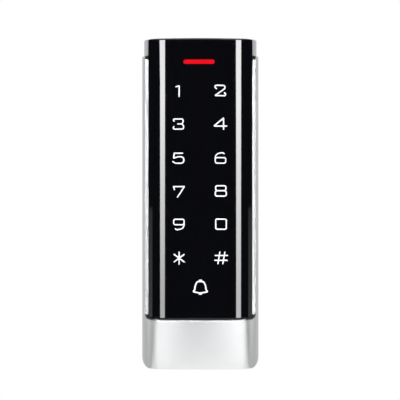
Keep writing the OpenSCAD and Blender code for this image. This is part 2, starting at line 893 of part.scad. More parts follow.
module microcontroller() {
    first = -lead_pitch * (leads_per_side - 1) / 2;
    color(mould_black)
        translate([chip_spot[0], main_y - chip_h / 2, chip_spot[1]]) {
            cube([chip_size, chip_h, chip_size], center = true);
            for (side = [0 : 3], i = [0 : leads_per_side - 1])
                rotate([0, 90 * side, 0])
                    translate([first + i * lead_pitch, chip_h / 4, (chip_size + lead_size[1]) / 2 - eps])
                        cube([lead_size[0], chip_h / 2, lead_size[1]], center = true);
        }
}

module voltage_regulator() {
    half_h = regulator_size[2] / 2;
    color(mould_black)
        translate([regulator_spot[0], main_y, regulator_spot[1]]) {
            translate([0, -regulator_size[1] / 2, 0]) cube(regulator_size, center = true);
            translate([0, -regulator_tab[1] / 2, half_h + regulator_tab[2] / 2 - eps])
                cube(regulator_tab, center = true);
            for (side = [-1, 1])
                translate([side * regulator_leg_x, -regulator_leg[1] / 2,
                           eps - half_h - regulator_leg[2] / 2])
                    cube(regulator_leg, center = true);
        }
}

module relay() {
    color(relay_blue)
        translate([relay_x, main_y - relay_size[1] / 2, chin_mid_z])
            cube(relay_size, center = true);
}

module buzzer() {
    color(mould_black)
        difference() {
            pin([buzzer_x, chin_mid_z], main_y - buzzer_h, main_y, buzzer_r);
            pin([buzzer_x, chin_mid_z], main_y - buzzer_h - over,
                main_y - buzzer_h + buzzer_hole_depth, buzzer_hole_r);
        }
}

module capacitors() {
    color(can_blue)
        for (z = [-1, 1] * (cap_r + part_gap)) {
            spot = [cap_x, chin_mid_z + z];
            pin(spot, main_y - cap_h, main_y, cap_r);
        }
}

module tamper_sensor() {
    color(sensor_tan)
        pin([sensor_x, sensor_z], main_back_y, cover_y - part_gap, sensor_r);
}

module cable_socket() {
    depth = socket_back_y - main_back_y;
    first = -socket_pitch * (socket_ways - 1) / 2;
    color("ivory")
        translate([0, main_back_y, socket_z])
            difference() {
                translate([0, depth / 2, 0])
                    cube([socket_size[0], depth, socket_size[2]], center = true);
                for (i = [0 : socket_ways - 1])
                    translate([first + i * socket_pitch, depth, 0])
                        cube([socket_pitch * socket_way_share[0], depth,
                              socket_size[2] * socket_way_share[1]], center = true);
            }
}

module board_screws() {
    color(steel_color)
        for (spot = board_screw_spots)
            difference() {
                union() {
                    pin(spot, touch_y - board_screw_bite, main_back_y + eps, board_screw_r);
                    pin(spot, main_back_y, main_back_y + board_screw_head_h, board_screw_head_r);
                }
                translate([spot[0], main_back_y + board_screw_head_h, spot[1]])
                    for (turn = [0, 90])
                        rotate([0, turn, 0]) cube(board_cross_size, center = true);
            }
}

// ---- Rear cover ----

module rear_cover() {
    color(mould_black)
        difference() {
            depth_prism(cover_y, cover_back_y)
                round_rect(rear_half_w - part_gap, inner_bottom_z + part_gap,
                           inner_top_z - part_gap, cover_corner_r);
            for (spot = cover_screw_spots) {
                pin(spot, cover_y - over, cover_back_y + over, cover_screw_r + screw_gap);
                pin(spot, cover_back_y - cover_screw_head_h, cover_back_y + eps,
                    cover_screw_r + screw_gap, cover_screw_head_r + screw_gap);
            }
            pin([sensor_x, sensor_z], cover_y - over, cover_back_y + over, window_r);
            pin([sensor_x, sensor_z], cover_back_y - window_lip_t, cover_back_y + over,
                window_r + window_lip);
            block([-socket_size[0] / 2 - part_gap, cover_y - over,
                   socket_z - socket_size[2] / 2 - part_gap],
                  [socket_size[0] / 2 + part_gap, over,
                   socket_z + socket_size[2] / 2 + part_gap]);
        }
}

module sensor_window() {
    color(window_clear)
        union() {
            pin([sensor_x, sensor_z], cover_y, cover_back_y, window_r - screw_gap);
            pin([sensor_x, sensor_z], cover_back_y - window_lip_t, cover_back_y,
                window_r + window_lip - screw_gap);
        }
}

module cover_seal() {
    color(seal_grey)
        depth_prism(seat_y, cover_y)
            difference() {
                round_rect(seal_half_w, inner_bottom_z + part_gap, inner_top_z - part_gap,
                           cover_corner_r);
                round_rect(seal_inner_half_w, inner_bottom_z + seal_band, inner_top_z - seal_band,
                           seal_corner_r);
            }
}

module cover_screws() {
    color(steel_color)
        for (spot = cover_screw_spots)
            difference() {
                union() {
                    pin(spot, cover_y - cover_screw_bite + cover_screw_tip_gap,
                        cover_back_y - cover_screw_head_h + eps,
                        cover_screw_r);
                    pin(spot, cover_back_y - cover_screw_head_h, cover_back_y,
                        cover_screw_r, cover_screw_head_r);
                }
                translate([spot[0], cover_back_y, spot[1]])
                    for (turn = [0, 90])
                        rotate([0, turn, 0]) cube(cross_size, center = true);
            }
}

back_plate();
cable_grommet();
clinch_nut();
security_screw();
housing();
rail_pads();
front_panel();
panel_adhesive();
status_light_bar();
light_mask();
touch_board();
touch_springs();
backlight_leds();
status_leds();
reader_coil();
board_spacers();
main_board();
board_link();
microcontroller();
voltage_regulator();
relay();
buzzer();
capacitors();
tamper_sensor();
sensor_window();
cable_socket();
rear_cover();
cover_seal();
cover_screws();
board_screws();
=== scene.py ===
import json
import math

import bmesh
import bpy
import numpy as np
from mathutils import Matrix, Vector
from mathutils.bvhtree import BVHTree
from mathutils.geometry import delaunay_2d_cdt


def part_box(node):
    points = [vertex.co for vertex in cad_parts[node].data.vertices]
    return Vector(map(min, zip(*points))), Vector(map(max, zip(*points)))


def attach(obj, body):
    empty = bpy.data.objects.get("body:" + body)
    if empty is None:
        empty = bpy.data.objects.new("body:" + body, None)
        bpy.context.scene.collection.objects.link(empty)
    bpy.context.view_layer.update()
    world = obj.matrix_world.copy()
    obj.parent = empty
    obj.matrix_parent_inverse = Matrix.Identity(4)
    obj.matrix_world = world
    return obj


# The frame is in metres: +X is right, +Z is up, and the front faces -Y.
mm = 0.001
tiny = 1e-6  # a length that counts as none

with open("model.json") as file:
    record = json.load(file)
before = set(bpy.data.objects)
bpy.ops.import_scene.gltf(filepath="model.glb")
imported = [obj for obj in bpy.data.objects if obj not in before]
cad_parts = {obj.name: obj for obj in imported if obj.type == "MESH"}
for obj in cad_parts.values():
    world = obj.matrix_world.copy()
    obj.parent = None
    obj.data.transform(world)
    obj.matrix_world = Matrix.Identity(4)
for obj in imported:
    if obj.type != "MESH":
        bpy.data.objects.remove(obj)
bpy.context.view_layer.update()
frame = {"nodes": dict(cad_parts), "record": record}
nodes = frame["nodes"]
print("stage: frame loaded,", len(nodes), "nodes")


def newNode(tree, kind, spot=(0, 0), **values):
    node = tree.nodes.new(kind)
    node.location = spot
    for name, value in values.items():
        setattr(node, name, value)
    return node


def setInputs(node, **values):
    # Underscores stand for the spaces in a socket's name.
    for name, value in values.items():
        node.inputs[name.replace("_", " ")].default_value = value


def mathNode(tree, operation, first, second=None, clamp=False):
    node = newNode(tree, "ShaderNodeMath", operation=operation, use_clamp=clamp)
    for slot, value in enumerate((first, second)):
        if value is None:
            continue
        if isinstance(value, (int, float)):
            node.inputs[slot].default_value = value
        else:
            tree.links.new(value, node.inputs[slot])
    return node.outputs[0]


def vectorNode(tree, operation, first, second=None, result="Vector", **links):
    node = newNode(tree, "ShaderNodeVectorMath", operation=operation)
    tree.links.new(first, node.inputs[0])
    if second is not None:
        tree.links.new(second, node.inputs[1])
    for name, socket in links.items():
        tree.links.new(socket, node.inputs[name])
    return node.outputs[result]


def vectorOf(tree, **parts):
    node = newNode(tree, "ShaderNodeCombineXYZ")
    for axis, socket in parts.items():
        tree.links.new(socket, node.inputs[axis])
    return node.outputs[0]


def remap(tree, value, fromLow, fromHigh, toLow, toHigh):
    node = newNode(tree, "ShaderNodeMapRange")
    tree.links.new(value, node.inputs["Value"])
    setInputs(node, From_Min=fromLow, From_Max=fromHigh, To_Min=toLow, To_Max=toHigh)
    return node.outputs["Result"]


def blendSockets(tree, dataType, socketType, factor, first, second):
    node = newNode(tree, "ShaderNodeMix", data_type=dataType)
    tree.links.new(factor, node.inputs["Factor"])
    # The sockets of a Mix node share their names, so they are found by type.
    ends = [socket for socket in node.inputs if socket.type == socketType]
    for socket, value in zip(ends[-2:], (first, second)):
        if isinstance(value, (tuple, list)):
            socket.default_value = (*value[:3], 1)
        else:
            tree.links.new(value, socket)
    return [socket for socket in node.outputs if socket.type == socketType][0]


def blendColors(tree, factor, first, second):
    return blendSockets(tree, "RGBA", "RGBA", factor, first, second)


def newGroup(name, inputs, outputs):
    group = bpy.data.node_groups.new(name, "ShaderNodeTree")
    for label, default in inputs:
        socket = group.interface.new_socket(label, in_out="INPUT", socket_type="NodeSocketFloat")
        socket.default_value = default
    for label in outputs:
        group.interface.new_socket(label, in_out="OUTPUT", socket_type="NodeSocketFloat")
    source = newNode(group, "NodeGroupInput", (-900, 0))
    sink = newNode(group, "NodeGroupOutput", (900, 0))
    return group, source, sink


def objectCoords(tree):
    return newNode(tree, "ShaderNodeTexCoord").outputs["Object"]


def splitCoords(tree):
    position = newNode(tree, "ShaderNodeSeparateXYZ")
    tree.links.new(objectCoords(tree), position.inputs[0])
    return position.outputs


def scaledCoords(tree, scale):
    node = newNode(tree, "ShaderNodeMapping")
    tree.links.new(objectCoords(tree), node.inputs["Vector"])
    node.inputs["Scale"].default_value = scale
    return node.outputs["Vector"]


def texture(tree, kind, coords, scale, feature=None, **values):
    node = newNode(tree, kind, **({"feature": feature} if feature else {}))
    setInputs(node, **values)
    tree.links.new(coords, node.inputs["Vector"])
    if isinstance(scale, (int, float)):
        setInputs(node, Scale=scale)
    else:
        tree.links.new(scale, node.inputs["Scale"])
    return node.outputs


noiseKind = "ShaderNodeTexNoise"
cellKind = "ShaderNodeTexVoronoi"

# The band in which most of a noise's values lie.
noiseBand = (0.3, 0.7)

grainEffect = {"fine": {"Detail": 3, "Roughness": 0.6}, "clouds": {"Detail": 4, "Roughness": 0.55}}


def buildGrainGroup():
    # Fine cast or moulded grain: a height and a slow variation of the finish.
    group, source, sink = newGroup(
        "surfaceGrain", [("Fine Scale", 4000), ("Cloud Scale", 60), ("Cloud Share", 0.3)],
        ["Height", "Clouds"])
    coords = objectCoords(group)
    fine = texture(group, noiseKind, coords, source.outputs["Fine Scale"], **grainEffect["fine"])
    clouds = texture(group, noiseKind, coords, source.outputs["Cloud Scale"], **grainEffect["clouds"])
    weighed = mathNode(group, "MULTIPLY", clouds["Fac"], source.outputs["Cloud Share"])
    height = mathNode(group, "ADD", fine["Fac"], weighed)
    group.links.new(height, sink.inputs["Height"])
    group.links.new(clouds["Fac"], sink.inputs["Clouds"])
    return group


edgeEffect = {"samples": 4, "bent": (0.995, 0.86), "patches": (0.35, 0.6), "leastLeft": 0.35}


def buildEdgeGroup():
    # Bright or rubbed edges: where a rounded normal leaves the true one.
    group, source, sink = newGroup(
        "edgeRub", [("Radius", 0.0004), ("Break Up", 900), ("Strength", 1)], ["Mask"])
    rounded = newNode(group, "ShaderNodeBevel", samples=edgeEffect["samples"])
    group.links.new(source.outputs["Radius"], rounded.inputs["Radius"])
    trueNormal = newNode(group, "ShaderNodeNewGeometry").outputs["Normal"]
    facing = vectorNode(group, "DOT_PRODUCT", rounded.outputs["Normal"], trueNormal, "Value")
    edge = remap(group, facing, *edgeEffect["bent"], 0, 1)
    noise = texture(group, noiseKind, objectCoords(group), source.outputs["Break Up"])
    broken = remap(group, noise["Fac"], *edgeEffect["patches"], edgeEffect["leastLeft"], 1)
    mask = mathNode(group, "MULTIPLY", edge, broken)
    mask = mathNode(group, "MULTIPLY", mask, source.outputs["Strength"], clamp=True)
    group.links.new(mask, sink.inputs["Mask"])
    return group


smudgeEffect = {"stretch": (1, 1, 0.35), "wipe": {"Detail": 5, "Roughness": 0.6, "Distortion": 0.8}}


def buildSmudgeGroup():
    # Faint wiped marks and specks of dust on gloss.
    group, source, sink = newGroup(
        "wipeMarks", [("Wipe Scale", 45), ("Dust Scale", 900), ("Dust Cover", 0.12)],
        ["Wipe", "Dust"])
    stretched = scaledCoords(group, smudgeEffect["stretch"])
    wipe = texture(group, noiseKind, stretched, source.outputs["Wipe Scale"], **smudgeEffect["wipe"])
    specks = texture(group, cellKind, objectCoords(group), source.outputs["Dust Scale"])
    near = mathNode(group, "LESS_THAN", specks["Distance"], source.outputs["Dust Cover"])
    group.links.new(wipe["Fac"], sink.inputs["Wipe"])
    group.links.new(near, sink.inputs["Dust"])
    return group


rolledEffect = {"stretch": (1, 1, 0.02), "lines": {"Detail": 3, "Roughness": 0.65}, "spangle": 210}


def buildRolledGroup():
    # Rolled or drawn metal: long fine lines along one direction.
    group, source, sink = newGroup("rolledLines", [("Scale", 900)], ["Lines", "Spangle"])
    stretched = scaledCoords(group, rolledEffect["stretch"])
    lines = texture(group, noiseKind, stretched, source.outputs["Scale"], **rolledEffect["lines"])
    spangle = texture(group, cellKind, objectCoords(group), rolledEffect["spangle"],
                      feature="SMOOTH_F1")
    group.links.new(lines["Fac"], sink.inputs["Lines"])
    group.links.new(spangle["Distance"], sink.inputs["Spangle"])
    return group


trackEffect = {"randomness": 0.55, "width": (0.05, 0.09)}


def buildTrackGroup():
    # Copper tracks that show through the solder mask.
    group, source, sink = newGroup("boardTracks", [("Scale", 420)], ["Tracks"])
    cells = texture(group, cellKind, objectCoords(group), source.outputs["Scale"],
                    feature="DISTANCE_TO_EDGE", Randomness=trackEffect["randomness"])
    tracks = remap(group, cells["Distance"], *trackEffect["width"], 1, 0)
    group.links.new(tracks, sink.inputs["Tracks"])
    return group


grainGroup = buildGrainGroup()
edgeGroup = buildEdgeGroup()
smudgeGroup = buildSmudgeGroup()
rolledGroup = buildRolledGroup()
trackGroup = buildTrackGroup()
print("stage: shared effects built")


def newFinish(name, color, roughness, metallic=0.0, **principled):
    material = bpy.data.materials.new(name)
    material.use_nodes = True
    tree = material.node_tree
    shader = tree.nodes["Principled BSDF"]
    setInputs(shader, Base_Color=(*color, 1), Roughness=roughness, Metallic=metallic, **principled)
    return material, tree, shader


def placeGroup(tree, group, **values):
    node = newNode(tree, "ShaderNodeGroup", (-500, 0), node_tree=group)
    setInputs(node, **values)
    return node.outputs


def addBump(tree, shader, height, strength, depth):
    bump = newNode(tree, "ShaderNodeBump")
    setInputs(bump, Strength=strength, Distance=depth)
    tree.links.new(height, bump.inputs["Height"])
    tree.links.new(bump.outputs["Normal"], shader.inputs["Normal"])


# What a finish's own grain doesn't set. Scales are per metre and depths in metres.
plainGrain = {"fine": 3200, "clouds": 130, "share": 0.3, "tone": 0.12, "bump": 0.25, "depth": 0.00006}

housingLook = {
    "name": "satinDieCast", "color": (0.87, 0.875, 0.875), "roughness": 0.37, "spread": 0.025,
    "metallic": 1.0,
    "grain": {"fine": 5200, "clouds": 70, "share": 0.2, "tone": 0.015, "bump": 0.10,
              "depth": 0.00004},
    "edge": {"radius": 0.00035, "breakUp": 1500, "strength": 0.5, "color": (0.93, 0.94, 0.95),
             "polish": 0.08},
}

screwLook = {
    "name": "stainlessScrew", "color": (0.62, 0.62, 0.64), "roughness": 0.26, "spread": 0.06,
    "metallic": 1.0, "grain": {"tone": 0.08, "bump": 0.1},
    "edge": {"radius": 0.0002, "breakUp": 1800, "strength": 0.5, "color": (0.9, 0.9, 0.91),
             "polish": 0.1},
}

coverLook = {
    "name": "mouldedCover", "color": (0.028, 0.028, 0.030), "roughness": 0.5, "spread": 0.06,
    "grain": {"tone": 0.15, "bump": 0.45, "depth": 0.0001, "fine": 2600},
    "edge": {"radius": 0.0003, "breakUp": 1200, "strength": 0.5, "color": (0.09, 0.09, 0.092),
             "polish": 0.1},
}

sealLook = {
    "name": "sealRubber", "color": (0.022, 0.022, 0.023), "roughness": 0.72, "spread": 0.08,
    "grain": {"tone": 0.2, "bump": 0.3},
}

maskLook = {
    "name": "mouldedMask", "color": (0.80, 0.80, 0.78), "roughness": 0.5, "spread": 0.05,
    "grain": {"tone": 0.03},
}

tapeLook = {
    "name": "foamTape", "color": (0.03, 0.03, 0.03), "roughness": 0.85, "spread": 0.05,
    "grain": {"tone": 0.3, "bump": 0.6},
}

chipLook = {
    "name": "chipMould", "color": (0.025, 0.025, 0.026), "roughness": 0.6, "spread": 0.08,
    "grain": {"tone": 0.15, "bump": 0.4},
}

lampLook = {
    "name": "lampMould", "color": (0.88, 0.86, 0.78), "roughness": 0.35, "spread": 0.05,
    "grain": {"tone": 0.03},
}

relayLook = {
    "name": "relayMould", "color": (0.03, 0.12, 0.36), "roughness": 0.4, "spread": 0.06,
    "grain": {"tone": 0.08},
}

socketLook = {
    "name": "socketMould", "color": (0.78, 0.75, 0.66), "roughness": 0.45, "spread": 0.05,
    "grain": {"tone": 0.05},
}

sensorLook = {
    "name": "sensorCoat", "color": (0.62, 0.42, 0.26), "roughness": 0.4, "spread": 0.06,
    "grain": {"tone": 0.1},
}


def grainyFinish(look):
    # A colour and roughness that vary a little, a fine grain and, where given, rubbed edges.
    color, roughness, spread = look["color"], look["roughness"], look["spread"]
    grain = {**plainGrain, **look["grain"]}
    material, tree, shader = newFinish(look["name"], color, roughness, look.get("metallic", 0.0))
    surface = placeGroup(tree, grainGroup, Fine_Scale=grain["fine"], Cloud_Scale=grain["clouds"],
                         Cloud_Share=grain["share"])
    darker = tuple(c * (1 - grain["tone"]) for c in color)
    lighter = tuple(min(c * (1 + grain["tone"]), 1) for c in color)
    shade = blendColors(tree, remap(tree, surface["Clouds"], *noiseBand, 0, 1), darker, lighter)
    rough = remap(tree, surface["Clouds"], *noiseBand, roughness - spread, roughness + spread)
    if "edge" in look:
        edge = look["edge"]
        rub = placeGroup(tree, edgeGroup, Radius=edge["radius"], Break_Up=edge["breakUp"],
                         Strength=edge["strength"])
        shade = blendColors(tree, rub["Mask"], shade, edge["color"])
        smoother = mathNode(tree, "MULTIPLY", rub["Mask"], edge["polish"])
        rough = mathNode(tree, "SUBTRACT", rough, smoother, clamp=True)
    tree.links.new(shade, shader.inputs["Base Color"])
    tree.links.new(rough, shader.inputs["Roughness"])
    addBump(tree, shader, surface["Height"], grain["bump"], grain["depth"])
    return material


panelLook = {
    "color": (0.0011, 0.0012, 0.0017),
    "roughness": 0.014,
    "wipe": 0.008,
    "wipeBand": (0.35, 0.7),
    "dustColor": (0.02, 0.02, 0.022),
    "bending": 1.4,
    "marks": {"Wipe_Scale": 38, "Dust_Scale": 700, "Dust_Cover": 0.035},
}


def panelFinish():
    material, tree, shader = newFinish(
        "glossPanel", panelLook["color"], panelLook["roughness"], IOR=panelLook["bending"])
    marks = placeGroup(tree, smudgeGroup, **panelLook["marks"])
    rough = remap(tree, marks["Wipe"], *panelLook["wipeBand"], panelLook["roughness"],
                  panelLook["roughness"] + panelLook["wipe"])
    tree.links.new(rough, shader.inputs["Roughness"])
    shade = blendColors(tree, marks["Dust"], panelLook["color"], panelLook["dustColor"])
    tree.links.new(shade, shader.inputs["Base Color"])
    return material


barLook = {
    "color": (0.20, 0.001, 0.003),
    "roughness": 0.08,
    "coat": 0.05,
    "glow": (1.0, 0.002, 0.010),
    "strength": 0.6,
    "lampPitch": 5 * mm,
    "betweenLamps": 0.93,
    "endGlow": 0.72,
    "endPower": 6,
    "rimGlow": 0.2,
    "rimPower": 3,
    "glowDrop": 0.1 * mm,
}


def barFinish():
    material, tree, shader = newFinish(
        "redLens", barLook["color"], barLook["roughness"], Coat_Weight=barLook["coat"])
    low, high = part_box("status_light_bar")
    position = splitCoords(tree)

    def towardsEdge(fromMiddle, half, power):
        share = mathNode(tree, "ABSOLUTE", mathNode(tree, "DIVIDE", fromMiddle, half))
        return mathNode(tree, "POWER", share, power)

    fromMiddle = mathNode(tree, "SUBTRACT", position["X"], (low[0] + high[0]) / 2)
    # The lamps behind the lens leave it a little dimmer between them.
    ripple = mathNode(tree, "MULTIPLY", fromMiddle, 2 * math.pi / barLook["lampPitch"])
    level = remap(tree, mathNode(tree, "COSINE", ripple), -1, 1, barLook["betweenLamps"], 1.0)
    ends = towardsEdge(fromMiddle, (high[0] - low[0]) / 2, barLook["endPower"])
    level = mathNode(tree, "MULTIPLY", level, remap(tree, ends, 0, 1, 1, barLook["endGlow"]))
    glowZ = (low[2] + high[2]) / 2 - barLook["glowDrop"]
    rim = towardsEdge(mathNode(tree, "SUBTRACT", position["Z"], glowZ), (high[2] - low[2]) / 2,
                      barLook["rimPower"])
    level = mathNode(tree, "MULTIPLY", level, remap(tree, rim, 0, 1, 1, barLook["rimGlow"]))
    glow = blendColors(tree, level, (0, 0, 0), barLook["glow"])
    tree.links.new(glow, shader.inputs["Emission Color"])
    setInputs(shader, Emission_Strength=barLook["strength"])
    return material


plateLook = {
    "color": (0.62, 0.63, 0.65),
    "tint": (0.70, 0.70, 0.68),
    "roughness": 0.38,
    "roughSpread": (-0.08, 0.1),
    "lines": 1500,
    "bump": 0.15,
    "depth": 0.03 * mm,
}


def plateFinish():
    roughness, spread = plateLook["roughness"], plateLook["roughSpread"]
    material, tree, shader = newFinish("zincSheet", plateLook["color"], roughness, 1.0)
    rolled = placeGroup(tree, rolledGroup, Scale=plateLook["lines"])
    shade = blendColors(tree, rolled["Spangle"], plateLook["color"], plateLook["tint"])
    rough = remap(tree, rolled["Lines"], *noiseBand, roughness + spread[0], roughness + spread[1])
    tree.links.new(shade, shader.inputs["Base Color"])
    tree.links.new(rough, shader.inputs["Roughness"])
    addBump(tree, shader, rolled["Lines"], plateLook["bump"], plateLook["depth"])
    return material


wireLook = {
    "lines": 2400,
    "darkest": 0.8,
    "roughSpread": (-0.05, 0.08),
    "coil": {"name": "enamelledCopper", "color": (0.72, 0.30, 0.13), "roughness": 0.28},
    "spring": {"name": "goldPlate", "color": (0.83, 0.60, 0.25), "roughness": 0.24},
    "can": {"name": "capacitorCan", "color": (0.74, 0.74, 0.76), "roughness": 0.3},
}


def drawnMetalFinish(look):
    color, roughness, spread = look["color"], look["roughness"], wireLook["roughSpread"]
    material, tree, shader = newFinish(look["name"], color, roughness, 1.0)
    rolled = placeGroup(tree, rolledGroup, Scale=wireLook["lines"])
    darker = tuple(c * wireLook["darkest"] for c in color)
    shade = blendColors(tree, rolled["Lines"], darker, color)
    tree.links.new(shade, shader.inputs["Base Color"])
    rough = remap(tree, rolled["Lines"], *noiseBand, roughness + spread[0], roughness + spread[1])
    tree.links.new(rough, shader.inputs["Roughness"])
    return material


boardLook = {
    "color": (0.012, 0.09, 0.035),
    "bare": (0.01, 0.075, 0.03),
    "overTrack": (0.03, 0.16, 0.06),
    "roughness": 0.3,
    "coat": 0.3,
    "tracks": 380,
    "bump": 0.3,
    "depth": 0.04 * mm,
}


def boardFinish():
    material, tree, shader = newFinish(
        "solderMask", boardLook["color"], boardLook["roughness"], Coat_Weight=boardLook["coat"])
    tracks = placeGroup(tree, trackGroup, Scale=boardLook["tracks"])["Tracks"]
    shade = blendColors(tree, tracks, boardLook["bare"], boardLook["overTrack"])
    tree.links.new(shade, shader.inputs["Base Color"])
    addBump(tree, shader, tracks, boardLook["bump"], boardLook["depth"])
    return material


windowLook = {
    "color": (0.9, 0.93, 0.95),
    "roughness": 0.06,
    "wiped": (0.04, 0.12),
    "clear": {"Transmission_Weight": 0.92, "IOR": 1.49},
    "marks": {"Wipe_Scale": 200, "Dust_Scale": 1500, "Dust_Cover": 0.05},
}


def windowFinish():
    material, tree, shader = newFinish(
        "clearWindow", windowLook["color"], windowLook["roughness"], **windowLook["clear"])
    marks = placeGroup(tree, smudgeGroup, **windowLook["marks"])
    rough = remap(tree, marks["Wipe"], *noiseBand, *windowLook["wiped"])
    tree.links.new(rough, shader.inputs["Roughness"])
    return material


# The chin's arch, seen from above: a middle arc that runs tangent into a small arc at each edge,
# where the middle arc has turned by this triangle's angle. Lengths are in mm.
chinLook = {
    "edgeR": 9.0,
    "triangle": (17, 144, 145),
    "round": (-0.45, -0.15),  # where the round along the upper edge starts and ends, off the panel
    "steepest": 0.999,  # the round's normal stops just short of upright
    "likeness": 0.97,  # faces that turn further from the arch keep their own normal
    "slack": 0.01,
    "upper": {"turn": 22, "length": 0.6, "fade": (17.0, 22.5)},
    "lower": {"turn": 7, "length": 3.5, "fade": (20.5, 23.0)},
}


def archArcs():
    # The middle arc's centre, an edge arc's centre and where the one takes over from the other.
    low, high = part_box("housing")
    across, along, full = chinLook["triangle"]
    scale = round((high[0] / mm - chinLook["edgeR"]) / across, 3)
    edgeX = across * scale
    edgeR = high[0] / mm - edgeX
    middleY = low[1] / mm + edgeR + full * scale
    return middleY, (edgeX, middleY - along * scale), edgeX + edgeR * across / full


def archNormal(tree, position, top):
    # The exact normal of the chin's arch, which smooths the steps between its flat facets.
    middleY, (edgeX, edgeY), turnX = archArcs()
    away = mathNode(tree, "ABSOLUTE", position["X"])
    onEdge = mathNode(tree, "GREATER_THAN", away, turnX * mm)
    centreX = mathNode(tree, "MULTIPLY", onEdge, edgeX * mm)
    centreY = remap(tree, onEdge, 0, 1, middleY * mm, edgeY * mm)
    sideways = mathNode(tree, "MULTIPLY", mathNode(tree, "SIGN", position["X"]),
                        mathNode(tree, "SUBTRACT", away, centreX))
    outward = vectorOf(tree, X=sideways, Y=mathNode(tree, "SUBTRACT", position["Y"], centreY))
    level = vectorNode(tree, "NORMALIZE", outward)
    roundLow, roundHigh = (top + height * mm for height in chinLook["round"])
    rise = remap(tree, position["Z"], roundLow, roundHigh, 0, chinLook["steepest"])
    flat = mathNode(tree, "SUBTRACT", 1, mathNode(tree, "MULTIPLY", rise, rise))
    leaning = vectorNode(tree, "SCALE", level, Scale=mathNode(tree, "SQRT", flat))
    placed = newNode(tree, "ShaderNodeVectorTransform", vector_type="NORMAL",
                     convert_from="OBJECT", convert_to="WORLD")
    tree.links.new(vectorNode(tree, "ADD", leaning, vectorOf(tree, Z=rise)), placed.inputs[0])
    exact = vectorNode(tree, "NORMALIZE", placed.outputs[0])
    geometry = newNode(tree, "ShaderNodeNewGeometry").outputs
    likeness = vectorNode(tree, "DOT_PRODUCT", geometry["True Normal"], exact, "Value")
    onArch = mathNode(tree, "GREATER_THAN", likeness, chinLook["likeness"])
    onChin = mathNode(tree, "LESS_THAN", position["Z"], roundHigh + chinLook["slack"] * mm)
    return blendSockets(tree, "VECTOR", "VECTOR", mathNode(tree, "MULTIPLY", onArch, onChin),
                        geometry["Normal"], exact)


def softenChin(material):
    # The chin's face rolls off gently towards its upper and lower edges.
    tree = material.node_tree
    bump = next(node for node in tree.nodes if node.bl_idname == "ShaderNodeBump")
    position = splitCoords(tree)
    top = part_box("front_panel")[0][2]
    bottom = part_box("housing")[0][2]
    dips = []
    for edge, way, look in ((top, 1, chinLook["upper"]), (bottom, -1, chinLook["lower"])):
        away = mathNode(tree, "MULTIPLY", mathNode(tree, "SUBTRACT", edge, position["Z"]), -way)
        away = mathNode(tree, "MINIMUM", away, 0.0)
        fall = mathNode(tree, "EXPONENT", mathNode(tree, "DIVIDE", away, look["length"] * mm))
        depth = math.tan(math.radians(look["turn"])) * look["length"] * mm
        fade = remap(tree, mathNode(tree, "ABSOLUTE", position["X"]),
                     *(x * mm for x in look["fade"]), depth, 0)
        dips.append(mathNode(tree, "MULTIPLY", fall, fade))
    dip = mathNode(tree, "ADD", *dips)
    onChin = mathNode(tree, "LESS_THAN", position["Z"], top)
    roll = newNode(tree, "ShaderNodeBump", invert=True)
    setInputs(roll, Strength=1, Distance=1)
    tree.links.new(mathNode(tree, "MULTIPLY", dip, onChin), roll.inputs["Height"])
    tree.links.new(archNormal(tree, position, top), roll.inputs["Normal"])
    tree.links.new(roll.outputs["Normal"], bump.inputs["Normal"])
    return material


finishes = {
    "die_cast": softenChin(grainyFinish(housingLook)),
    "gloss_panel": panelFinish(),
    "light_lens": barFinish(),
    "sheet_steel": plateFinish(),
    "screw_steel": grainyFinish(screwLook),
    "rubber_black": grainyFinish(sealLook),
    "cover_black": grainyFinish(coverLook),
    "mask_white": grainyFinish(maskLook),
    "adhesive": grainyFinish(tapeLook),
    "board_green": boardFinish(),
    "chip_black": grainyFinish(chipLook),
    "led_white": grainyFinish(lampLook),
    "copper_coil": drawnMetalFinish(wireLook["coil"]),
    "gold_plate": drawnMetalFinish(wireLook["spring"]),
    "relay_blue": grainyFinish(relayLook),
    "can_aluminium": drawnMetalFinish(wireLook["can"]),
    "socket_ivory": grainyFinish(socketLook),
    "window_clear": windowFinish(),
    "sensor_tan": grainyFinish(sensorLook),
}

slotOf = {part["node"]: part["material_slot"] for part in frame["record"]["subparts"]}
for nodeName, nodeObject in nodes.items():
    nodeObject.data.materials.clear()
    nodeObject.data.materials.append(finishes[slotOf[nodeName]])
print("stage: finishes placed on", len(nodes), "nodes")


# The key signs, printed on the panel. Lengths are in mm.
signLook = {
    "strokeW": 0.56,
    "strokeShare": {"3": 0.93, "6": 0.96, "9": 0.96, "7": 1.04, "bell": 1.14},
    "inkT": 0.04,
    "sunk": 0.01,
    "gridHalf": 4.2,
    "gridStep": 0.1,
    "arcStep": 0.15,
    "longestCut": 0.95,  # share of a stroke's leg that a rounded corner may take
    "leastShare": 0.02,
    "rayStart": 10,
    "color": (0.80, 0.81, 0.82),
    "roughness": 0.4,
    "glow": (0.95, 0.97, 1.0),
    "glowStrength": 0.01,
    "dimmest": 0.93,
    "grain": {"Fine_Scale": 2600, "Cloud_Scale": 220, "Cloud_Share": 0.3},
    "bump": 0.05,
    "depth": 0.02,
}

keyLabels = [*"1234567890*#", "bell"]

# How far each sign is printed off its key's centre, in mm.
printShift = {
    "1": (-0.19, -0.48), "2": (-0.59, -0.18), "3": (-0.39, -0.13), "4": (-0.5, 0.09),
    "5": (-0.29, -0.33), "6": (-0.43, -0.28), "7": (-0.09, -0.22), "8": (-0.29, -0.0),
    "9": (-0.17, 0.13), "0": (-0.2, 0.22), "*": (-0.18, 0.07), "#": (-0.32, 0.2),
    "bell": (0.01, 0.2),
}

